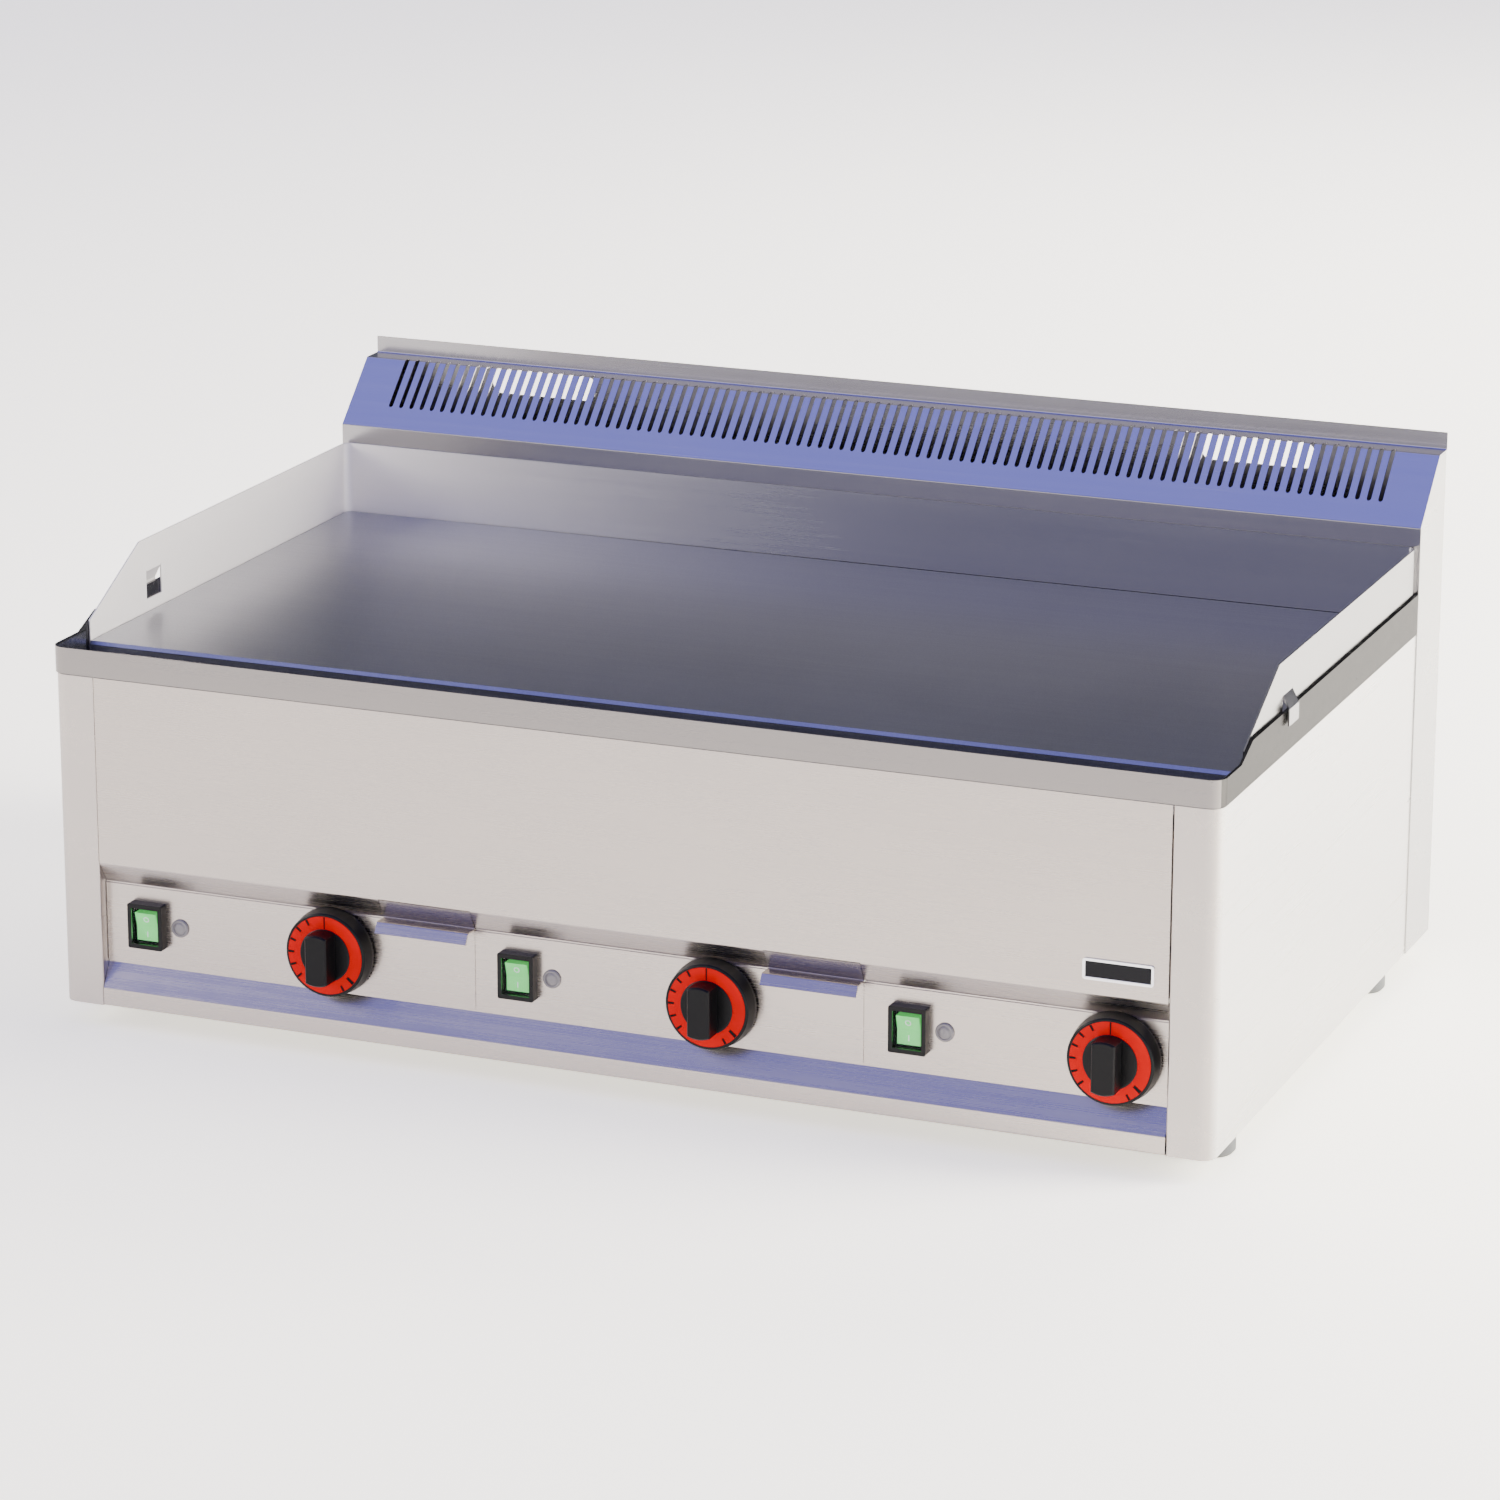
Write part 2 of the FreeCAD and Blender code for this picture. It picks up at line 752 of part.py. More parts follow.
def plate_rails():
    outside = panel_side - S.sheet_thick - 0.2
    back = S.duct_front - 1
    for name, sign in (("plate_rail_left", -1), ("plate_rail_right", 1)):
        near, far = sign * (outside - S.rail_leg), sign * outside
        edge = sign * (outside - S.rail_thick)
        low_x, high_x = (near, far) if sign > 0 else (far, near)
        low_e, high_e = (edge, far) if sign > 0 else (far, edge)
        plate_rail(name, (low_x, S.plate_front), (high_x, 184.5), (low_e, S.plate_front), (high_e, 184.5))
    half = outside
    plate_rail("plate_rail_rear", (-half, 185), (half, back), (-half, back - S.rail_thick), (half, back))


def splash_guard():
    """A wall round three sides of the plate that lifts off: two hooks sit over the top frame."""
    side, back = S.guard_half, S.guard_back
    points = [(-side, S.guard_front), (-side, back), (side, back), (side, S.guard_front)]
    inner = S.guard_bend - S.sheet_thick
    body = bent_sheet("guard_wall", "XY", S.guard_low, S.guard_top, points, S.sheet_thick, -1, [inner] * 2)
    pocket(
        body, "YZ", -side - 1, side + 1,
        polygon((S.guard_front - 5, S.guard_nose), (S.guard_front, S.guard_nose),
                (S.guard_shoulder, S.guard_top), (S.guard_shoulder, S.guard_top + 5),
                (S.guard_front - 5, S.guard_top + 5)),
    )
    pocket(
        body, "YZ", -side - 1, side + 1,
        rectangle(S.hook_front, S.hook_low, S.hook_front + S.hook_width, S.hook_high),
    )
    hooks = []
    for name, sign in (("hook_left", -1), ("hook_right", 1)):
        reach = side + S.hook_reach
        path = [(sign * side, S.hook_high + 4), (sign * side, S.hook_high - 1),
                (sign * reach, S.hook_knee), (sign * reach, S.hook_low)]
        hooks.append(bent_sheet(name, "XZ", S.hook_front + 0.6, S.hook_front + S.hook_width - 0.6,
                                path, S.sheet_thick, -sign, [S.bend] * 2))
    return keep(fuse("splash_guard", body, *hooks))


# ---------------------------------------------------------------- heating


def heating_element(place, middle):
    """A tubular element of six runs, with both of its cold ends at the front."""
    high, pitch, radius = S.element_height, S.run_pitch, S.element_radius
    parts = []
    runs = 6
    for i in range(runs):
        x = middle + pitch * (i - (runs - 1) / 2)
        cold = i in (0, runs - 1)
        front = -237 if cold else S.run_front
        parts.append(rod(f"run_{place}_{i}", "y", (x, front, high), S.run_back - front, radius))
        if cold:
            parts.append(rod(f"pin_{place}_{i}", "y", (x, -243, high), 6, 2))
        if i == runs - 1:
            continue
        turn = doc.addObject("Part::Torus", f"turn_{place}_{i}")
        bind(turn, "Radius1", pitch * 0.5)
        bind(turn, "Radius2", radius)
        turn.Angle3 = 180
        at_back = i % 2 == 0
        turn.Placement = Placement(Vector(), Rotation(Vector(0, 0, 1), 0 if at_back else 180))
        bind(turn, "Placement.Base.x", x + pitch * 0.5)
        bind(turn, "Placement.Base.y", S.run_back if at_back else S.run_front)
        bind(turn, "Placement.Base.z", high)
        parts.append(turn)
    return keep(fuse(f"heating_element_{place}", *parts))


def element_clamps(middles):
    """Flat bars that press the elements to the plate, on studs with nuts."""
    low = S.element_height - S.element_radius - 2.2
    parts = []
    for place, middle in middles.items():
        for row, y in (("front", -100), ("back", 90)):
            name = f"{place}_{row}"
            pieces = [box(f"bar_{name}", (middle - 140, y - 10, low), (middle + 140, y + 10, low + 2))]
            for side, x in (("a", middle - 50), ("b", middle + 50)):
                length = S.plate_top - S.plate_thick - low + 6
                pieces.append(rod(f"stud_{name}_{side}", "z", (x, y, low - 6), length, 3))
                pieces.append(rod(f"nut_{name}_{side}", "z", (x, y, low - 5), 5, 6))
            parts.append(fuse(f"clamp_{name}", *pieces))
    return keep(group("element_clamps", *parts))


def heat_shield():
    """A pan under the elements that holds the insulation."""
    side = panel_side - S.sheet_thick - S.rail_thick - 0.4
    low, high = (-side, -238, S.shield_low), (side, 226, S.shield_high)
    wall = S.sheet_thick
    outer = box("shield_outer", low, high)
    inner = box("shield_inner", (low[0] + wall, low[1] + wall, low[2] + wall),
                (high[0] - wall, high[1] - wall, high[2] + 1))
    return keep(cut("heat_shield", outer, inner))


def insulation():
    side = panel_side - S.sheet_thick - S.rail_thick - 2
    return keep(block("insulation", (-side, -236.4, S.shield_low + 1.4), (side, 224.4, S.shield_low + 27),
                      ("front left", "front right", "back left", "back right"), 3))


# ---------------------------------------------------------------- controls


def thermostat(place, x, bulb_x):
    """A capillary thermostat: its case and bush behind the control face, and its bulb under the plate."""
    case = new_body(f"thermostat_case_{place}")
    pad(case, "XY", -28, -3.2, rectangle(-22, -22, 22, 22))
    round_edges(case, "XY", [(a, b) for a in (-22, 22) for b in (-22, 22)], 3)
    pad(case, "XY", -3.2, -2.4, rectangle(-28, -20, 28, 20))
    pad(case, "XY", -2.4, 0.6, circle(0, 0, S.spindle_radius + 2))
    pocket(case, "XY", -20, 1, circle(0, 0, S.spindle_radius + 0.06))
    on_control_face(case, x)
    low, high = S.control_height + 12, S.element_height + 0.2
    up = -243
    capillary = [
        rod(f"capillary_out_{place}", "y", (bulb_x, control_face + 26, low), up - control_face - 26, 1),
        rod(f"capillary_up_{place}", "z", (bulb_x, up, low), high - low, 1),
        rod(f"capillary_in_{place}", "y", (bulb_x, up, high), 95, 1),
        rod(f"bulb_{place}", "y", (bulb_x, up + 95, high), 100, 3),
    ]
    for spot, z in (("low", low), ("high", high)):
        elbow = doc.addObject("Part::Sphere", f"elbow_{spot}_{place}")
        bind(elbow, "Radius", 1)
        for letter, amount in zip("xyz", (bulb_x, up, z)):
            bind(elbow, f"Placement.Base.{letter}", amount)
        capillary.append(elbow)
    return keep(fuse(f"thermostat_{place}", case, *capillary))


def spindle(place, x):
    """The thermostat's shaft, with the flat that drives the knob."""
    body = new_body(f"spindle_{place}")
    pad(body, "XY", -19, 14, circle(0, 0, S.spindle_radius))
    pocket(body, "XY", 2, 15, rectangle(-4, 1.5, 4, 5))
    return keep(on_control_face(body, x))


def knob(place, x):
    """A control knob: tapered skirt, hub and bar grip, with a groove for the dial ring."""
    body = new_body(f"knob_{place}")
    sketch, _ = profile(body, "YZ", 0, 1, [polygon(
        (0, S.knob_gap + 2), (S.knob_base - 3, S.knob_gap + 2), (S.knob_base - 3, S.knob_gap),
        (S.knob_base, S.knob_gap), (S.knob_base, S.knob_gap + 3), (S.knob_rim, S.knob_face - 1),
        (S.knob_rim - 1, S.knob_face), (S.dial_outer, S.knob_face),
        (S.dial_outer, S.knob_face - S.dial_deep), (S.knob_hub, S.knob_face - S.dial_deep),
        (S.knob_hub, S.knob_face + 0.4), (S.knob_hub - 1, S.knob_face + 1), (0, S.knob_face + 1),
    )])
    turned = body.newObject("PartDesign::Revolution", f"knob_skirt_{place}")
    turned.Profile = sketch
    turned.ReferenceAxis = (sketch, ["V_Axis"])
    turned.Angle = 360
    doc.recompute()
    pad(body, "XY", S.knob_face - 1, S.knob_tip, bar(S.grip_half, S.grip_long))
    doc.recompute()
    tip = S.knob_tip.number
    base = body.Tip
    top = [
        f"Edge{n}" for n, edge in enumerate(base.Shape.Edges, start=1)
        if all(abs(v.Point.z - tip) < 1e-4 for v in edge.Vertexes)
    ]
    soften = body.newObject("PartDesign::Chamfer", f"grip_edge_{place}")
    soften.Base = (base, top)
    bind(soften, "Size", 1.2)
    doc.recompute()
    pocket(body, "XY", 0, 14.2, circle(0, 0, S.spindle_radius + 0.05))
    return keep(on_control_face(body, x))


def dial_ring(place, x):
    """The coloured ring let into the knob's face."""
    body = new_body(f"dial_ring_{place}")
    pad(body, "XY", S.knob_face - S.dial_deep + 0.02, S.knob_face + 0.15,
        circle(0, 0, S.dial_outer - 0.05), circle(0, 0, S.knob_hub + 0.05))
    return keep(on_control_face(body, x))


def switch_frame(place, x):
    """The switch's surround on the panel and its case behind it."""
    body = new_body(f"switch_frame_{place}")
    half, tall = S.switch_half, S.switch_tall
    pad(body, "XY", 0.02, S.switch_proud, rectangle(-half, -tall, half, tall))
    round_edges(body, "XY", [(a * half.number, b * tall.number) for a in (-1, 1) for b in (-1, 1)], 1.5)
    pad(body, "XY", -26, 0.02, rectangle(-10.9, -13.9, 10.9, 13.9))
    pocket(body, "XY", 1.5, S.switch_proud + 1,
           rectangle(-S.opening_half, -S.opening_tall, S.opening_half, S.opening_tall))
    pocket(body, "XY", -8, 2, rectangle(-S.rocker_half - 0.3, -13.2, S.rocker_half + 0.3, 13.2))
    pad(body, "YZ", -S.rocker_half - 0.6, S.rocker_half + 0.6, circle(0, -rocker_pivot, pivot_pin))
    for left in (-6, 3.5):
        pad(body, "XY", -36, -26, rectangle(left, -1, left + 2.5, 5))
    return keep(on_control_face(body, x))


def rocker(place, x):
    """The switch's rocker, drawn about its pivot and tilted so that its lower end is pressed in."""
    body = new_body(f"rocker_{place}")
    half = S.rocker_half
    pad(body, "YZ", -half, half, polygon(
        (-12.2, 6.6), (-11.2, -1.5), (0, -4.5), (11.2, -1.5), (12.2, 6.6), (0, 4.9)))
    pocket(body, "YZ", -half - 1, half + 1, circle(0, 0, pivot_pin + 0.05))
    on_control_face(body, x)
    body.Placement.Rotation = Rotation(Vector(1, 0, 0), 90 + rocker_tilt)
    bind(body, "Placement.Base.y", control_face + rocker_pivot)
    return keep(body)


def switch_window(place, x):
    """The clear splash cover over the rocker."""
    body = new_body(f"switch_window_{place}")
    half, tall = S.opening_half - 0.05, S.opening_tall - 0.05
    pad(body, "XY", S.switch_proud - 1, S.switch_proud - 0.1, rectangle(-half, -tall, half, tall))
    return keep(on_control_face(body, x))


def lamp_lens(place, x):
    """The pilot lamp's lens, which stands a little proud of the panel."""
    body = new_body(f"lamp_lens_{place}")
    sketch, _ = profile(body, "YZ", 0, 1, [polygon(
        (0, 0.05), (S.lens_radius, 0.05), (S.lens_radius, 1.2), (S.lens_radius - 0.8, 2),
        (S.lens_radius - 1.8, 2), (S.lens_radius - 2.2, 1.4), (S.lens_radius - 4, 2.2), (0, 2.8))])
    turned = body.newObject("PartDesign::Revolution", f"lens_{place}")
    turned.Profile = sketch
    turned.ReferenceAxis = (sketch, ["V_Axis"])
    turned.Angle = 360
    doc.recompute()
    return keep(on_control_face(body, x))


def lamp_bodies(places):
    made = []
    for place, x in places.items():
        stem = rod(f"lamp_stem_{place}", "y", (x, control_face + 0.02, S.control_height), 22, S.lamp_radius)
        nut = rod(f"lamp_nut_{place}", "y", (x, recess_face + S.sheet_thick + 0.1, S.control_height), 3, 8)
        made.append(fuse(f"lamp_body_{place}", stem, nut))
    return keep(group("lamp_bodies", *made))


# ---------------------------------------------------------------- grease drawers


def drawer_tray(place, edge):
    """The shallow tray that catches grease below a drain."""
    low = (edge - S.drawer_width + 2, recess_face - 0.5, S.tray_low)
    high = (edge - 2, S.drawer_back, S.tray_high)
    corners = ("back left", "back right")
    outer = block(f"tray_outer_{place}", low, high, corners, 5)
    inner = block(f"tray_inner_{place}", (low[0] + 1, low[1] + 1, low[2] + 1),
                  (high[0] - 1, high[1] - 1, high[2] + 1), corners, 4)
    return keep(cut(f"drawer_tray_{place}", outer, inner))


def drawer_pull(place, edge):
    """The drawer's front, flush with the overhanging strip, folded out into a finger tab."""
    clear = 0.25
    tab_y = control_face - S.tab_reach
    points = [
        (panel_face + clear, S.fascia_low - clear),
        (control_face - 0.1, S.recess_high + clear),
        (tab_y, S.recess_high + clear),
        (tab_y - S.tab_lean, S.recess_high - S.tab_drop),
    ]
    body = bent_sheet(f"drawer_pull_{place}", "YZ", edge - S.drawer_width, edge, points, S.sheet_thick, 1,
                      [0.4, S.bend])
    return keep(body)


def drawer_guide(place, edge):
    """The channel that the tray slides in, and its stand on the base pan."""
    low = (edge - S.drawer_width, recess_face + 2, S.recess_high - 0.2)
    high = (edge, S.drawer_back + 6, S.tray_high + 1)
    wall = S.sheet_thick
    outer = box(f"guide_outer_{place}", low, high)
    inner = box(f"guide_inner_{place}", (low[0] + wall, low[1] - 1, low[2] + wall),
                (high[0] - wall, high[1] - wall, high[2] + 1))
    channel = cut(f"guide_channel_{place}", outer, inner)
    stand = box(f"guide_stand_{place}", (low[0] + 20, S.drawer_back - 20, S.base_floor + wall + 0.02),
                (high[0] - 20, S.drawer_back - 18, S.recess_high))
    return keep(fuse(f"drawer_guide_{place}", channel, stand))


def drain_spouts():
    made = []
    for place, edge in drawer_edge.items():
        start = (edge - S.drawer_width * 0.5, drain_y, S.spout_low)
        length = S.channel_floor - 0.02 - S.spout_low
        outer = rod(f"spout_outer_{place}", "z", start, length, S.spout_radius)
        bore_low = (start[0], start[1], S.spout_low - 1)
        bore = rod(f"spout_bore_{place}", "z", bore_low, length + 2, S.drain_bore)
        made.append(cut(f"spout_{place}", outer, bore))
    return keep(group("drain_spouts", *made))


# ---------------------------------------------------------------- electrical parts and small pieces


def safety_limiters(places):
    """Over-temperature cut-outs with reset buttons, one for each zone."""
    made = []
    floor = S.base_floor + S.sheet_thick + 0.02
    for place, x in places.items():
        case = box(f"limiter_case_{place}", (x - 18, -190, floor), (x + 18, -150, floor + 26))
        button = rod(f"limiter_button_{place}", "z", (x, -170, floor + 26), 5, 4)
        made.append(fuse(f"limiter_{place}", case, button))
    return keep(group("safety_limiters", *made))


def terminal_block():
    """Mains terminals: a moulded block with a row of screw pockets."""
    x, floor = gland_spot[0], S.base_floor + S.sheet_thick + 0.02
    low, high = (x - 45, 225, floor), (x + 45, 262, floor + 32)
    blank = box("terminal_blank", low, high)
    pocket_places = [(x - 37.5 + 15 * i, 243.5, floor + 20) for i in range(6)]
    pockets = [rod(f"terminal_pocket_{i}", "z", pocket_places[i], 15, 5) for i in range(6)]
    return keep(cut("terminal_block", blank, *pockets))


def cable_gland():
    """The mains inlet in the back wall: threaded body, outer nut and inner lock nut, with a clear bore."""
    x, z = gland_spot
    back = S.rear_face
    flange = rod("gland_flange", "y", (x, back + 0.05, z), 4, 17)
    dome = rod("gland_dome", "y", (x, back + 4.05, z), 17.95, 15, 11)
    thread = rod("gland_thread", "y", (x, back - 12, z), 14, gland_thread)
    lock = rod("gland_lock_nut", "y", (x, back - S.sheet_thick - 5.1, z), 5, 16)
    whole = fuse("gland_whole", flange, dome, thread, lock)
    bore = rod("gland_bore", "y", (x, back - 20, z), 60, 7)
    return keep(cut("cable_gland", whole, bore))


def casing_screws():
    made = []
    for i, (x, z) in enumerate(casing_screw_spots):
        head = rod(f"screw_head_{i}", "y", (x, S.rear_face + 0.02, z), 2.2, 4.2, 3)
        shank = rod(f"screw_shank_{i}", "y", (x, S.rear_face - 8, z), 8.5, 1.6)
        made.append(fuse(f"screw_{i}", head, shank))
    return keep(group("casing_screws", *made))


def name_plate():
    """A blank badge with a raised rim."""
    low, high = (388, panel_face - 1.2, 154), (445, panel_face - 0.02, 171)
    body = new_body("name_plate")
    pad(body, "XZ", low[1], high[1], rectangle(low[0], low[2], high[0], high[2]))
    round_edges(body, "XZ", [(x, z) for x in (low[0], high[0]) for z in (low[2], high[2])], 2.5)
    pocket(body, "XZ", low[1] - 1, low[1] + 0.5, rectangle(390, 156, 443, 169))
    return keep(body)


# ---------------------------------------------------------------- the assembly

drain_y = -275
rocker_tilt = 8
rocker_pivot = 1
pivot_pin = 1.2
gland_thread = 12.5
gland_spot = (-380, 60)
casing_screw_spots = [(x, z) for x in (-470, -157, 157, 470) for z in (50, 215, 388)]
knob_x = {place: left + S.knob_offset for place, left in module_left.items()}
switch_x = {place: left + S.switch_offset for place, left in module_left.items()}
lamp_x = {place: left + S.lamp_offset for place, left in module_left.items()}
zone_x = {"left": -S.zone_pitch, "middle": size(0), "right": S.zone_pitch}

side_panel("side_panel_left", -1)
side_panel("side_panel_right", 1)
front_panel()
rear_casing()
duct_cover()
base_pan()
feet()
top_frame()
grease_channel()
griddle_plate()
plate_rails()
splash_guard()
heat_shield()
insulation()
element_clamps(zone_x)
for place in PLACES:
    control_plate(place)
    heating_element(place, zone_x[place])
    thermostat(place, knob_x[place], zone_x[place] + 96)
    spindle(place, knob_x[place])
    knob(place, knob_x[place])
    dial_ring(place, knob_x[place])
    switch_frame(place, switch_x[place])
    rocker(place, switch_x[place])
    switch_window(place, switch_x[place])
    lamp_lens(place, lamp_x[place])
lamp_bodies(lamp_x)
for place, edge in drawer_edge.items():
    drawer_tray(place, edge)
    drawer_pull(place, edge)
    drawer_guide(place, edge)
drain_spouts()
safety_limiters(knob_x)
terminal_block()
cable_gland()
casing_screws()
name_plate()
doc.recompute()

# ---------------------------------------------------------------- checks and export

for item in doc.Objects:
    if {"Invalid", "Error"} & set(item.State):
        raise SystemExit(f"{item.Label} failed: {item.State}")
os.makedirs("parts", exist_ok=True)
for old in os.listdir("parts"):
    if old.endswith(".step") and old[:-5] not in nodes:
        os.remove(os.path.join("parts", old))
for name, item in nodes.items():
    shape = item.Shape
    if shape.isNull() or not shape.isValid() or not shape.Solids:
        raise SystemExit(f"{name} has no valid solid")
    shape.exportStep(f"parts/{name}.step")
print(len(nodes), "sub-parts written")
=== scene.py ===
import json
import math

import bmesh
import bpy
from mathutils import Matrix, Vector


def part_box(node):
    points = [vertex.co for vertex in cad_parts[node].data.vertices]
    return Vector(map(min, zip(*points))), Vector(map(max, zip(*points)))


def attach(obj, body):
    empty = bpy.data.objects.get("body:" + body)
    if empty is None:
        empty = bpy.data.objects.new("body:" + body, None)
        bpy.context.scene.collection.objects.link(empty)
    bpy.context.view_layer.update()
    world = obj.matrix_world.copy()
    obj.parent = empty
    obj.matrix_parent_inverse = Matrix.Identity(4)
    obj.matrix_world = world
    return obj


MM = 0.001
PLACES = ("left", "middle", "right")

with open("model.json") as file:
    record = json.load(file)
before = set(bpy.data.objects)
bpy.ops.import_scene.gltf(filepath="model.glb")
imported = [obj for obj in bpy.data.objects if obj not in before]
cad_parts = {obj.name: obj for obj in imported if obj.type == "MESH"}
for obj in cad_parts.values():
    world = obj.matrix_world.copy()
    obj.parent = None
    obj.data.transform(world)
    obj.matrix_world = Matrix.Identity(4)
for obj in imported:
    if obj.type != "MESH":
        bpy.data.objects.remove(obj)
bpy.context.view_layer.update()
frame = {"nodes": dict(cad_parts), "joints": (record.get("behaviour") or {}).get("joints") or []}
nodes = frame["nodes"]
hinges = [joint for joint in frame["joints"] if joint["type"] == "hinge"]
pivots = {hinge["child"]: Vector(hinge["pos_m"]) for hinge in hinges}


def centre_of(node_name):
    low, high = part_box(node_name)
    return [(a + b) / 2 for a, b in zip(low, high)]


# ---------------------------------------------------------------- node helpers

# A mix node keeps its colour sockets after the ones for numbers and vectors.
MIX_COLOR_A = 6
MIX_COLOR_B = 7
MIX_COLOR_OUT = 2


class Graph:
    """A material's or world's node tree, with short calls for the nodes used below."""

    def __init__(self, tree):
        self.tree = tree
        tree.nodes.clear()

    def add(self, kind, **values):
        node = self.tree.nodes.new(kind)
        for name, value in values.items():
            setattr(node, name, value)
        return node

    def feed(self, socket, value):
        """Links value into socket if it is an output; otherwise sets it there."""
        if isinstance(value, bpy.types.NodeSocket):
            self.tree.links.new(value, socket)
        elif isinstance(value, (tuple, list)) and len(value) == 3 and len(socket.default_value) == 4:
            socket.default_value = (*value, 1.0)
        else:
            socket.default_value = value

    def math(self, operation, a, b=0.0, clamp=False):
        node = self.add("ShaderNodeMath", operation=operation, use_clamp=clamp)
        self.feed(node.inputs[0], a)
        self.feed(node.inputs[1], b)
        return node.outputs[0]

    def axes(self, vector):
        """The x, y and z of a vector."""
        node = self.add("ShaderNodeSeparateXYZ")
        self.feed(node.inputs[0], vector)
        return node.outputs

    def place(self, scale=(1, 1, 1), shift=(0, 0, 0)):
        """The position in the row frame, stretched and shifted."""
        coords = self.add("ShaderNodeTexCoord")
        mapping = self.add("ShaderNodeMapping")
        self.feed(mapping.inputs["Vector"], coords.outputs["Object"])
        mapping.inputs["Scale"].default_value = scale
        mapping.inputs["Location"].default_value = shift
        return mapping.outputs[0]

    def noise(self, vector, scale, detail=3.0, roughness=0.55):
        node = self.add("ShaderNodeTexNoise")
        self.feed(node.inputs["Vector"], vector)
        node.inputs["Scale"].default_value = scale
        node.inputs["Detail"].default_value = detail
        node.inputs["Roughness"].default_value = roughness
        return node.outputs["Fac"]

    def remap(self, value, from_low, from_high, to_low, to_high):
        node = self.add("ShaderNodeMapRange")
        for name, amount in zip(
            ("Value", "From Min", "From Max", "To Min", "To Max"),
            (value, from_low, from_high, to_low, to_high),
        ):
            self.feed(node.inputs[name], amount)
        return node.outputs[0]

    def mix(self, factor, a, b):
        node = self.add("ShaderNodeMix", data_type="RGBA")
        self.feed(node.inputs["Factor"], factor)
        self.feed(node.inputs[MIX_COLOR_A], a)
        self.feed(node.inputs[MIX_COLOR_B], b)
        return node.outputs[MIX_COLOR_OUT]

    def bump(self, height, strength, distance):
        node = self.add("ShaderNodeBump")
        node.inputs["Strength"].default_value = strength
        node.inputs["Distance"].default_value = distance
        self.feed(node.inputs["Height"], height)
        return node.outputs[0]

    def surface(self, color, roughness, metallic=0.0, normal=None, **extra):
        shader = self.add("ShaderNodeBsdfPrincipled")
        self.feed(shader.inputs["Base Color"], color)
        self.feed(shader.inputs["Roughness"], roughness)
        self.feed(shader.inputs["Metallic"], metallic)
        if normal is not None:
            self.feed(shader.inputs["Normal"], normal)
        for name, value in extra.items():
            self.feed(shader.inputs[name.replace("_", " ")], value)
        output = self.add("ShaderNodeOutputMaterial")
        self.tree.links.new(shader.outputs[0], output.inputs["Surface"])


def material(name):
    made = bpy.data.materials.new(name)
    made.use_nodes = True
    return made, Graph(made.node_tree)


# ---------------------------------------------------------------- materials

GRAIN = {"x": (1.2, 220, 220), "y": (220, 1.2, 220), "z": (220, 220, 1.2)}
COARSER = 0.16                    # scale of the broad scratches against the fine ones

# The spans below give one sheet other colours on some faces. They stand in for bright and dark
# things mirrored there in the reference look: the real metal is the same all over.
FACE_EDGE = (-0.300, -0.291)      # y over which the painted reflection colour of a front face ends
LOW_WALL_EDGE = (0.3902, 0.3912)  # z over which the duct's lower wall meets its slope
LIP_EDGE = (0.4413, 0.4423)       # z over which the duct's rear lip starts
FLANK_X = 0.4925                  # the rim's outer right side lies beyond this x
HAZE_AND_PAINTED_PALE_SPAN = (-0.5, 0.15)          # x over which the guard's rougher left end and its painted pale reflection fade out
# Painted reflection: the pale cream tint laid over the guard's left end.
PAINTED_PALE_REFLECTION = (0.86, 0.83, 0.78)
WHITE = (1.0, 1.0, 1.0)
FLANK_PAINTED_SHADE_TINT = (0.55, 0.55, 0.55)  # painted shade: a grey specular tint that dims the reflections on the flank, which is seen at a low angle


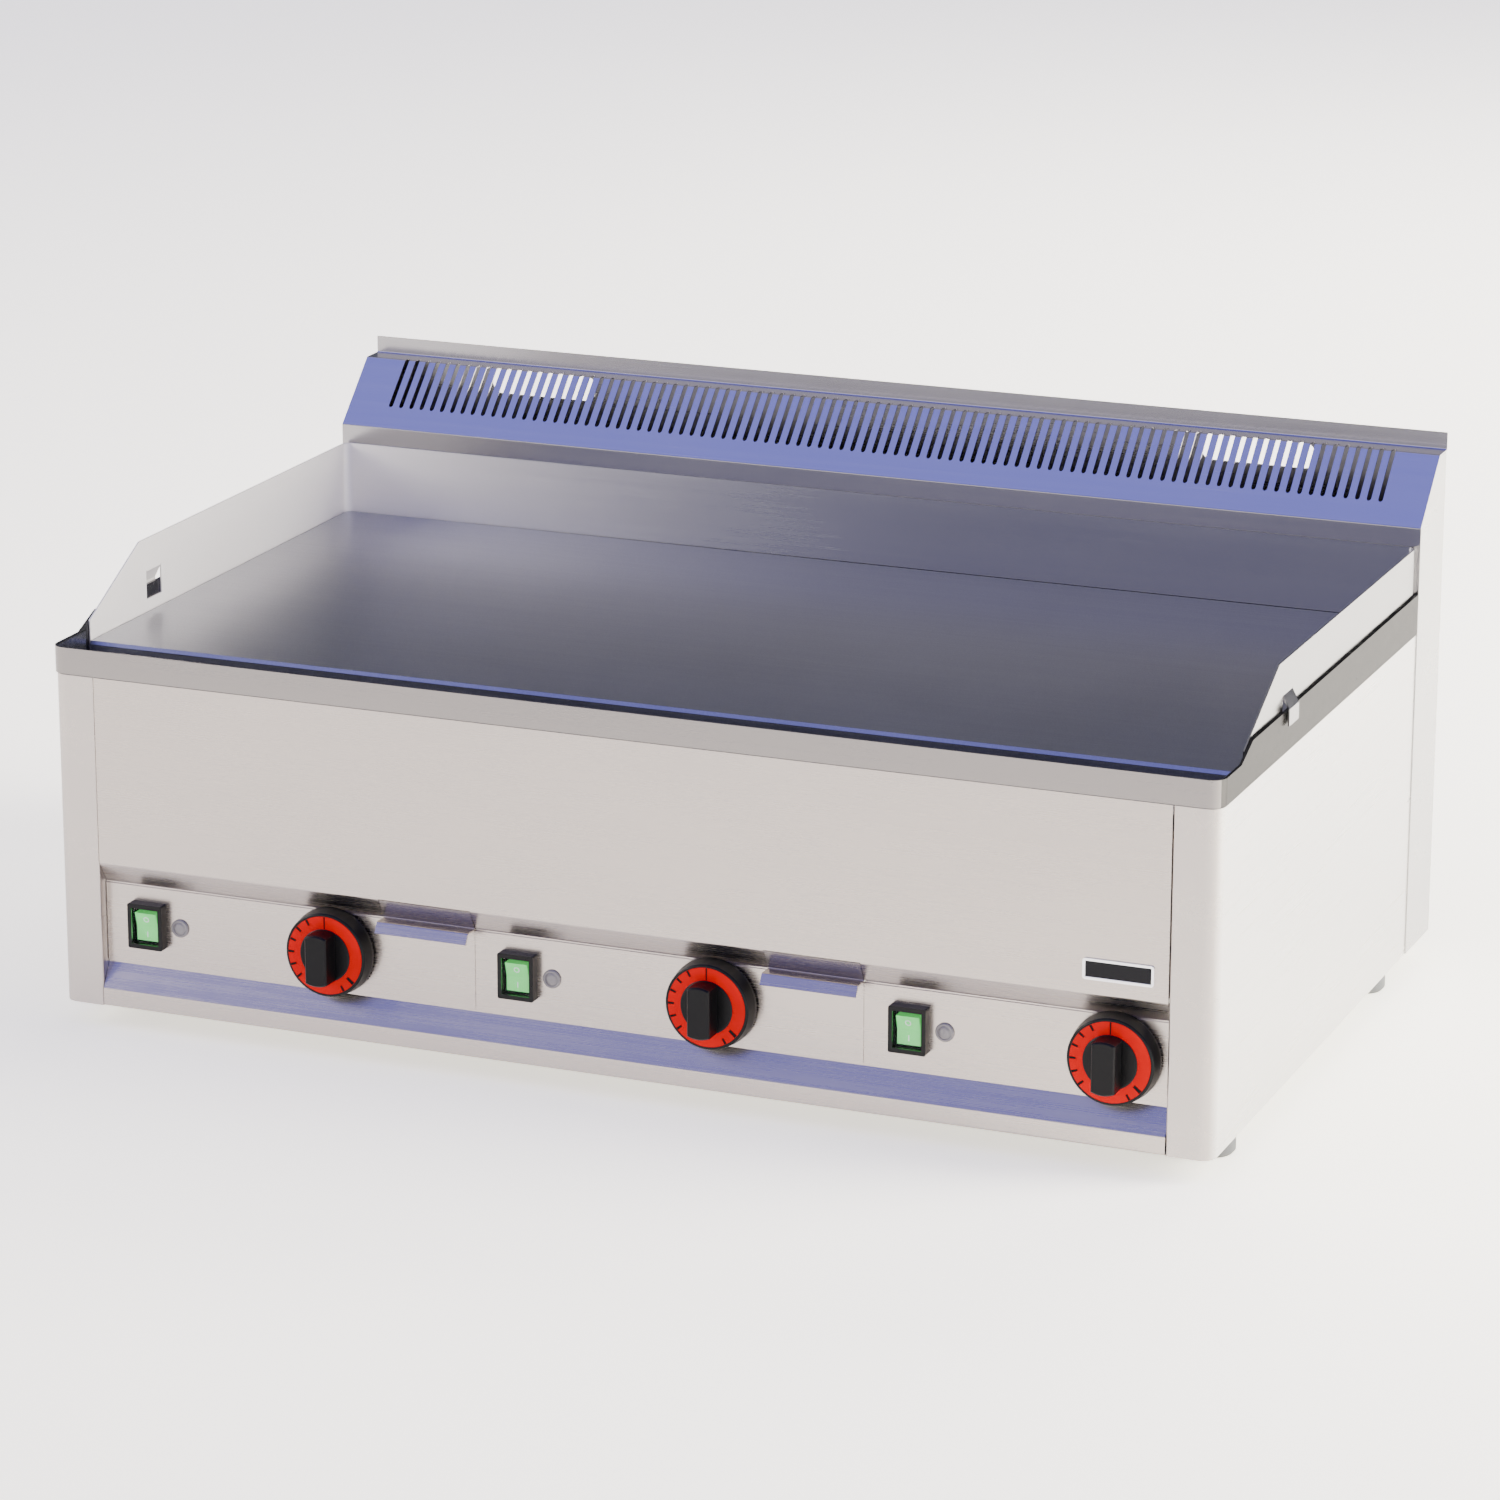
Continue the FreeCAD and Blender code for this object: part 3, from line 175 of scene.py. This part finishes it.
def brushed(name, color, rough, grain="x", contrast=0.014, smudge=0.03, depth=0.012,
            haze_and_painted_pale_left=0.0, front=None, upright=None, flank=None):
    """Brushed stainless: fine scratches along one axis, faint smudges, and softly uneven sheen.

    The left-end amount says how much rougher the left end is; when it is given, the left end also gets a
    painted pale reflection.
    front, upright and flank are painted reflection and shade colours laid on a part's front face, its
    upright duct walls and its outer right side.
    """
    made, g = material(name)
    fine = g.noise(g.place(GRAIN[grain]), 6.0, 4.0, 0.7)
    coarse = g.noise(g.place(tuple(v * COARSER for v in GRAIN[grain])), 5.0, 3.0)
    cloud = g.noise(g.place(), 7.0, 4.0, 0.6)
    wipe = g.noise(g.place((3, 3, 9), (4, 1, 2)), 2.2, 5.0, 0.65)
    streak = g.math("ADD", g.math("MULTIPLY", fine, 0.6), g.math("MULTIPLY", coarse, 0.4))
    tone = g.math("ADD", streak, g.math("MULTIPLY", cloud, smudge * 4))
    spread = contrast * 2.2
    low = tuple(v * (1 - spread) for v in color)
    high = tuple(min(1.0, v * (1 + spread)) for v in color)
    tint = g.mix(g.remap(tone, 0.35, 0.85, 0.0, 1.0), low, high)
    specular_tint_painted_shade = WHITE
    sheen = g.math(
        "ADD",
        g.remap(streak, 0.3, 0.7, rough - 0.05, rough + 0.05),
        g.remap(wipe, 0.35, 0.7, -smudge * 0.6, smudge),
    )
    x, y, z = g.axes(g.place())
    # Painted reflection: the duct's lower wall and rear lip get a darker colour than its slope.
    if upright:
        low_wall = g.remap(z, *LOW_WALL_EDGE, 1.0, 0.0)
        lip = g.remap(z, *LIP_EDGE, 0.0, 1.0)
        tint = g.mix(g.math("ADD", low_wall, lip, clamp=True), tint, upright)
    # Painted reflection: a part's front face gets its own colour, darker on the side panels and lighter
    # on the top frame.
    if front:
        tint = g.mix(g.remap(y, *FACE_EDGE, 0.0, 1.0), front, tint)
    # Painted shade: the rim's outer right side gets a darker colour and a dimmer specular tint.
    if flank:
        outer = g.math("GREATER_THAN", x, FLANK_X)
        tint = g.mix(outer, tint, flank)
        specular_tint_painted_shade = g.mix(outer, WHITE, FLANK_PAINTED_SHADE_TINT)
    # Painted reflection: the left end fades to a pale cream tint, and it also grows rougher.
    if haze_and_painted_pale_left:
        haze_and_painted_pale = g.math("POWER", g.remap(x, *HAZE_AND_PAINTED_PALE_SPAN, 1.0, 0.0), 2.0)
        sheen = g.math("ADD", sheen, g.math("MULTIPLY", haze_and_painted_pale, haze_and_painted_pale_left))
        tint = g.mix(haze_and_painted_pale, tint, PAINTED_PALE_REFLECTION)
    g.surface(tint, sheen, 1.0, g.bump(streak, depth, 0.4 * MM), Specular_Tint=specular_tint_painted_shade)
    return made


def ground_plate(name):
    """The cooking plate: ground steel with a fine sandy grain and faint grinding lines across."""
    made, g = material(name)
    speck = g.noise(g.place(), 900.0, 2.0, 0.6)
    lines = g.noise(g.place((0.6, 90, 90)), 5.0, 4.0, 0.65)
    patch = g.noise(g.place(), 3.5, 5.0, 0.6)
    tone = g.math("ADD", g.math("MULTIPLY", speck, 0.6), g.math("MULTIPLY", patch, 0.5))
    tint = g.mix(g.remap(tone, 0.35, 0.75, 0, 1), (0.24, 0.24, 0.27), (0.34, 0.34, 0.37))
    uneven = g.math("ADD", g.math("MULTIPLY", lines, 0.5), g.math("MULTIPLY", patch, 0.5))
    rough = g.remap(uneven, 0.3, 0.7, 0.30, 0.42)
    height = g.math("ADD", speck, g.math("MULTIPLY", lines, 0.5))
    g.surface(tint, rough, 1.0, g.bump(height, 0.16, 0.4 * MM))
    return made


def plastic(name, color, rough, grain=500.0, depth=0.08, spread=0.15, **extra):
    """Moulded plastic or rubber: a fine moulded grain, uneven gloss and slight colour change."""
    made, g = material(name)
    fine = g.noise(g.place(), grain, 3.0)
    cloud = g.noise(g.place(), 30.0, 4.0)
    low = tuple(v * (1 - spread) for v in color)
    high = tuple(min(1.0, v * (1 + spread)) for v in color)
    tint = g.mix(g.remap(cloud, 0.3, 0.7, 0, 1), low, high)
    uneven = g.math("ADD", g.math("MULTIPLY", fine, 0.5), g.math("MULTIPLY", cloud, 0.5))
    sheen = g.remap(uneven, 0.3, 0.7, rough - 0.05, rough + 0.06)
    g.surface(tint, sheen, 0.0, g.bump(fine, depth, 0.3 * MM), **extra)
    return made


BADGE_FIELD = (26.3 * MM, 6.3 * MM)   # half sizes along x and z


def badge(name):
    """A dark blank field inside a bright rim."""
    made, g = material(name)
    x, _, z = g.axes(g.place())
    middle_x, _, middle_z = centre_of("name_plate")
    outside = [
        g.math("GREATER_THAN", g.math("ABSOLUTE", g.math("SUBTRACT", along, middle)), half)
        for along, middle, half in zip((x, z), (middle_x, middle_z), BADGE_FIELD)
    ]
    rim = g.math("MAXIMUM", *outside)
    grain = g.noise(g.place((1, 60, 60)), 20.0, 3.0)
    tint = g.mix(rim, (0.006, 0.006, 0.007), (0.8, 0.8, 0.82))
    sheen = g.remap(grain, 0.3, 0.7, 0.28, 0.42)
    g.surface(tint, sheen, rim, g.bump(grain, 0.1, 0.2 * MM), Specular_IOR_Level=0.12)
    return made


# Painted light and shade: the visible sheets below are one brushed stainless steel, given lighter and
# darker base colours to stand for how much light each one mirrors.
CREAM = (0.43, 0.385, 0.35)
steel_front = brushed("steel_front", CREAM, 0.27, "x")
steel_side = brushed("steel_side", (0.70, 0.685, 0.665), 0.30, "y", 0.03, 0.04, 0.03,
                     front=(0.44, 0.40, 0.37))
steel_rear = brushed("steel_rear", (0.52, 0.51, 0.50), 0.30, "x", 0.03, 0.05, 0.03)
steel_frame = brushed("steel_frame", (0.13, 0.128, 0.126), 0.24, "x", front=(0.225, 0.209, 0.20),
                      flank=(0.078, 0.076, 0.074))
steel_guard = brushed("steel_guard", (0.29, 0.285, 0.29), 0.20, "x", haze_and_painted_pale_left=0.45)
steel_duct = brushed("steel_duct", (0.52, 0.50, 0.52), 0.22, "x", upright=(0.30, 0.29, 0.295))
steel_trough = brushed("steel_trough", (0.22, 0.22, 0.24), 0.28, "x")
steel_inner = brushed("steel_inner", (0.50, 0.50, 0.49), 0.45, "x", 0.06, 0.10)
steel_shaft = brushed("steel_shaft", (0.60, 0.60, 0.60), 0.25, "y")
tube_steel = plastic("tube_steel", (0.12, 0.11, 0.10), 0.55, 300.0, 0.2, 0.3)
plate_steel = ground_plate("plate_steel")
wool = plastic("wool", (0.62, 0.58, 0.46), 0.9, 250.0, 0.8, 0.25)
knob_black = plastic("knob_black", (0.003, 0.003, 0.0032), 0.36, 700.0, 0.06, Specular_IOR_Level=0.12)
dial_red = plastic("dial_red", (0.42, 0.0, 0.0), 0.5, 900.0, 0.03, 0.06, Specular_IOR_Level=0.05)
switch_black = plastic("switch_black", (0.003, 0.003, 0.0032), 0.30, 700.0, 0.05, Specular_IOR_Level=0.15)
# Painted glow: the emission makes the green rocker glow.
rocker_green = plastic("rocker_green", (0.12, 0.52, 0.14), 0.25, 600.0, 0.03, 0.10,
                       Emission_Color=(0.10, 0.75, 0.13, 1.0), Emission_Strength=0.6)
lamp_grey = plastic("lamp_grey", (0.15, 0.14, 0.135), 0.18, 600.0, 0.05, 0.12)
foot_rubber = plastic("foot_rubber", (0.075, 0.078, 0.077), 0.55, 450.0, 0.2)
moulded_black = plastic("moulded_black", (0.03, 0.03, 0.03), 0.45)
gland_grey = plastic("gland_grey", (0.06, 0.06, 0.065), 0.4)
mark_white = plastic("mark_white", (0.75, 0.78, 0.74), 0.4, 800.0, 0.03, 0.05)
mark_black = plastic("mark_black", (0.004, 0.004, 0.004), 0.5, 800.0, 0.03, Specular_IOR_Level=0.05)
clear_cover = plastic("clear_cover", (0.93, 0.97, 0.94), 0.06, 500.0, 0.02, 0.02,
                      Transmission_Weight=1.0, IOR=1.12, Specular_IOR_Level=0.3)
badge_face = badge("badge_face")

LOOKS = {
    "side_panel": steel_side, "front_panel": steel_front, "control_plate": steel_front,
    "rear_casing": steel_rear, "duct_cover": steel_duct, "base_pan": steel_inner, "feet": foot_rubber,
    "top_frame": steel_frame, "grease_channel": steel_trough, "griddle_plate": plate_steel,
    "plate_rail": steel_inner, "splash_guard": steel_guard, "heat_shield": steel_inner,
    "insulation": wool, "element_clamps": steel_inner, "heating_element": tube_steel,
    "thermostat": moulded_black, "spindle": steel_shaft, "knob": knob_black, "dial_ring": dial_red,
    "switch_frame": switch_black, "rocker": rocker_green, "switch_window": clear_cover,
    "lamp_lens": lamp_grey, "lamp_bodies": moulded_black, "drawer_tray": steel_inner,
    "drawer_pull": steel_front, "drawer_guide": steel_inner, "drain_spouts": steel_inner,
    "safety_limiters": moulded_black, "terminal_block": moulded_black, "cable_gland": gland_grey,
    "casing_screws": steel_shaft, "name_plate": badge_face,
}
for name, node in nodes.items():
    look = next(found for stem, found in LOOKS.items() if name.startswith(stem))
    node.data.materials.clear()
    node.data.materials.append(look)

# ---------------------------------------------------------------- small printed and moulded details


def piece(name, mesh_builder, look, body):
    mesh = bpy.data.meshes.new(name)
    shape = bmesh.new()
    mesh_builder(shape)
    shape.to_mesh(mesh)
    shape.free()
    made = bpy.data.objects.new(name, mesh)
    bpy.context.scene.collection.objects.link(made)
    mesh.materials.append(look)
    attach(made, body)
    return made


def slab(shape, outline, near, far):
    """A thin flat piece: outline is (x, z) points, standing from y near to y far."""
    front = [shape.verts.new((x, near, z)) for x, z in outline]
    back = [shape.verts.new((x, far, z)) for x, z in outline]
    shape.faces.new(front)
    shape.faces.new(back[::-1])
    count = len(outline)
    for i in range(count):
        j = (i + 1) % count
        shape.faces.new((front[i], back[i], back[j], front[j]))
    bmesh.ops.recalc_face_normals(shape, faces=shape.faces)


def sector(cx, cz, inner, outer, start, end, steps):
    """An arc-shaped outline between two clock angles, in degrees clockwise from the top."""
    angles = [math.radians(start + (end - start) * i / steps) for i in range(steps + 1)]
    outside = [(cx + outer * math.sin(a), cz + outer * math.cos(a)) for a in angles]
    inside = [(cx + inner * math.sin(a), cz + inner * math.cos(a)) for a in reversed(angles)]
    return outside + inside


# Each mark of the dial: clock angle, half width in degrees, length in millimetres, arc steps.
LEFT_MARKS = [(angle, 1.7, 5.0, 3) for angle in range(-130, -29, 20)]
RIGHT_MARKS = [(130, 2.6, 7.0, 3), (150, 1.7, 5.0, 3)]
TOP_MARK = (0, 1.1, 10.0, 2)
MARK_OUTER = 32.4 * MM
MARK_SUNK = 0.02 * MM
MARK_PROUD = 0.14 * MM


def dial_marks(place):
    """The print on a dial ring: short marks at its rim, and a long one at the top."""
    cx, _, cz = centre_of(f"dial_ring_{place}")
    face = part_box(f"dial_ring_{place}")[0][1]

    def build(shape):
        for angle, half_width, length, steps in (*LEFT_MARKS, *RIGHT_MARKS, TOP_MARK):
            outline = sector(cx, cz, MARK_OUTER - length * MM, MARK_OUTER,
                             angle - half_width, angle + half_width, steps)
            slab(shape, outline, face - MARK_PROUD, face + MARK_SUNK)

    piece(f"dial_marks_{place}", build, mark_black, f"knob_{place}")


ROCKER_TILT = math.radians(8)
ROCKER_CREST = 4.9 * MM          # how far the rocker's faces stand out at its pivot
ROCKER_SLOPE = 1.7 / 12.2        # how much further out they stand towards the ends
MARK_DEPTH = 0.12 * MM
RING_PARTS = 16
RING_CENTRE = 6.4 * MM
RING_INNER = 1.7 * MM
RING_OUTER = 2.5 * MM
BAR_HALF = 0.4 * MM
BAR_LOW = -9 * MM
BAR_HIGH = -4.4 * MM


def rocker_marks(place):
    """A ring on the raised half and a bar on the pressed half, lying on the tilted faces."""
    pivot = pivots[f"rocker_{place}"]
    tilt = Matrix.Rotation(ROCKER_TILT, 4, "X")

    def corners(shape, outline, depth):
        places = [Vector((x, -(ROCKER_CREST + abs(z) * ROCKER_SLOPE + depth), z)) for x, z in outline]
        return [shape.verts.new(pivot + tilt @ spot) for spot in places]

    def on_face(shape, outline):
        under = corners(shape, outline, 0.0)
        over = corners(shape, outline, MARK_DEPTH)
        count = len(outline)
        shape.faces.new(over)
        for i in range(count):
            j = (i + 1) % count
            shape.faces.new((under[i], over[i], over[j], under[j]))

    def build(shape):
        part = 360 / RING_PARTS
        for i in range(RING_PARTS):
            on_face(shape, sector(0, RING_CENTRE, RING_INNER, RING_OUTER, i * part, (i + 1) * part, 2))
        ends = ((-BAR_HALF, BAR_LOW), (BAR_HALF, BAR_LOW), (BAR_HALF, BAR_HIGH), (-BAR_HALF, BAR_HIGH))
        on_face(shape, ends)
        bmesh.ops.recalc_face_normals(shape, faces=shape.faces)

    piece(f"rocker_marks_{place}", build, mark_white, f"rocker_{place}")


for place in PLACES:
    dial_marks(place)
    rocker_marks(place)

# ---------------------------------------------------------------- stage and light


FLOOR_REACH = 14.0
FLOOR_CORNERS = ((-1, -1), (1, -1), (1, 1), (-1, 1))


def floor():
    mesh = bpy.data.meshes.new("floor")
    shape = bmesh.new()
    shape.faces.new([shape.verts.new((x * FLOOR_REACH, y * FLOOR_REACH, 0)) for x, y in FLOOR_CORNERS])
    shape.to_mesh(mesh)
    shape.free()
    made = bpy.data.objects.new("floor", mesh)
    bpy.context.scene.collection.objects.link(made)
    look, g = material("pale_floor")
    cloud = g.noise(g.place(), 2.0, 2.0)
    tint = g.mix(cloud, (0.90, 0.87, 0.74), (0.92, 0.89, 0.76))
    g.surface(tint, 0.9, Emission_Color=(1.0, 0.96, 0.88, 1.0), Emission_Strength=1.1)
    mesh.materials.append(look)


def area_light(name, position, target, width, height, power, color, shiny=True):
    """A softbox, in metres and watts. With shiny off it isn't mirrored in what it lights."""
    data = bpy.data.lights.new(name, "AREA")
    data.shape = "RECTANGLE"
    data.size = width
    data.size_y = height
    data.energy = power
    data.color = color
    made = bpy.data.objects.new(name, data)
    made.location = position
    made.visible_glossy = shiny
    made.visible_camera = False
    made.rotation_euler = (Vector(target) - Vector(position)).to_track_quat("-Z", "Y").to_euler()
    bpy.context.scene.collection.objects.link(made)


FRONT_GLOW = (2.2, 2.1, 2.0)
BACK_DIM = (0.15, 0.155, 0.20)
RIGHT_GLOW = (4.0, 3.9, 3.8)
LAVENDER = (0.40, 0.42, 1.42)


def studio():
    """A soft room: lavender overhead in front, dim behind, bright to the right, white to the camera."""
    world = bpy.data.worlds.new("studio")
    bpy.context.scene.world = world
    world.use_nodes = True
    g = Graph(world.node_tree)
    coords = g.add("ShaderNodeTexCoord")
    x, y, z = g.axes(coords.outputs["Generated"])
    around = g.mix(g.remap(y, -0.3, 0.5, 0, 1), FRONT_GLOW, BACK_DIM)
    sided = g.mix(g.remap(x, 0.45, 0.95, 0, 1), around, RIGHT_GLOW)
    ahead = g.math("MULTIPLY", g.remap(z, 0.18, 0.40, 0, 1), g.remap(y, 0.25, 0.05, 0, 1))
    above = g.mix(ahead, sided, LAVENDER)
    rays = g.add("ShaderNodeLightPath")
    seen = g.mix(rays.outputs["Is Camera Ray"], above, WHITE)
    background = g.add("ShaderNodeBackground")
    g.feed(background.inputs["Color"], seen)
    output = g.add("ShaderNodeOutputWorld")
    g.tree.links.new(background.outputs[0], output.inputs["Surface"])


CAMERA_PLACE = (1.6422, -4.0401, 1.5031)
CAMERA_TURN = (22.22, -16.55, -0.07)     # yaw, pitch and roll in degrees, from looking along +Y
LENS_MM = 131.61
SENSOR_MM = 36.0


def camera():
    data = bpy.data.cameras.new("camera")
    data.lens = LENS_MM
    data.sensor_width = SENSOR_MM
    data.clip_end = 60.0
    made = bpy.data.objects.new("camera", data)
    yaw, pitch, roll = (math.radians(v) for v in CAMERA_TURN)
    turn = Matrix.Rotation(yaw, 4, "Z") @ Matrix.Rotation(pitch, 4, "X") @ Matrix.Rotation(roll, 4, "Y")
    level = Matrix.Rotation(math.radians(90), 4, "X")
    made.matrix_world = Matrix.Translation(CAMERA_PLACE) @ turn @ level
    bpy.context.scene.collection.objects.link(made)
    bpy.context.scene.camera = made


floor()
studio()
camera()
area_light("key", (-3.6, -1.6, 1.9), (0, -0.3, 0.2), 2.2, 1.6, 170, (1.0, 0.96, 0.88))
area_light("low_right", (3.0, 0.9, 0.9), (-0.3, 0.0, 0.35), 2.0, 1.4, 270, (1.0, 0.96, 0.90))
area_light("right", (3.4, 0.6, 2.2), (1.2, 1.2, 0.0), 2.0, 2.2, 420, (1.0, 0.97, 0.93), shiny=False)
area_light("back", (0.6, 3.6, 2.6), (1.0, 2.2, 0.0), 2.4, 2.0, 260, (1.0, 0.97, 0.93), shiny=False)
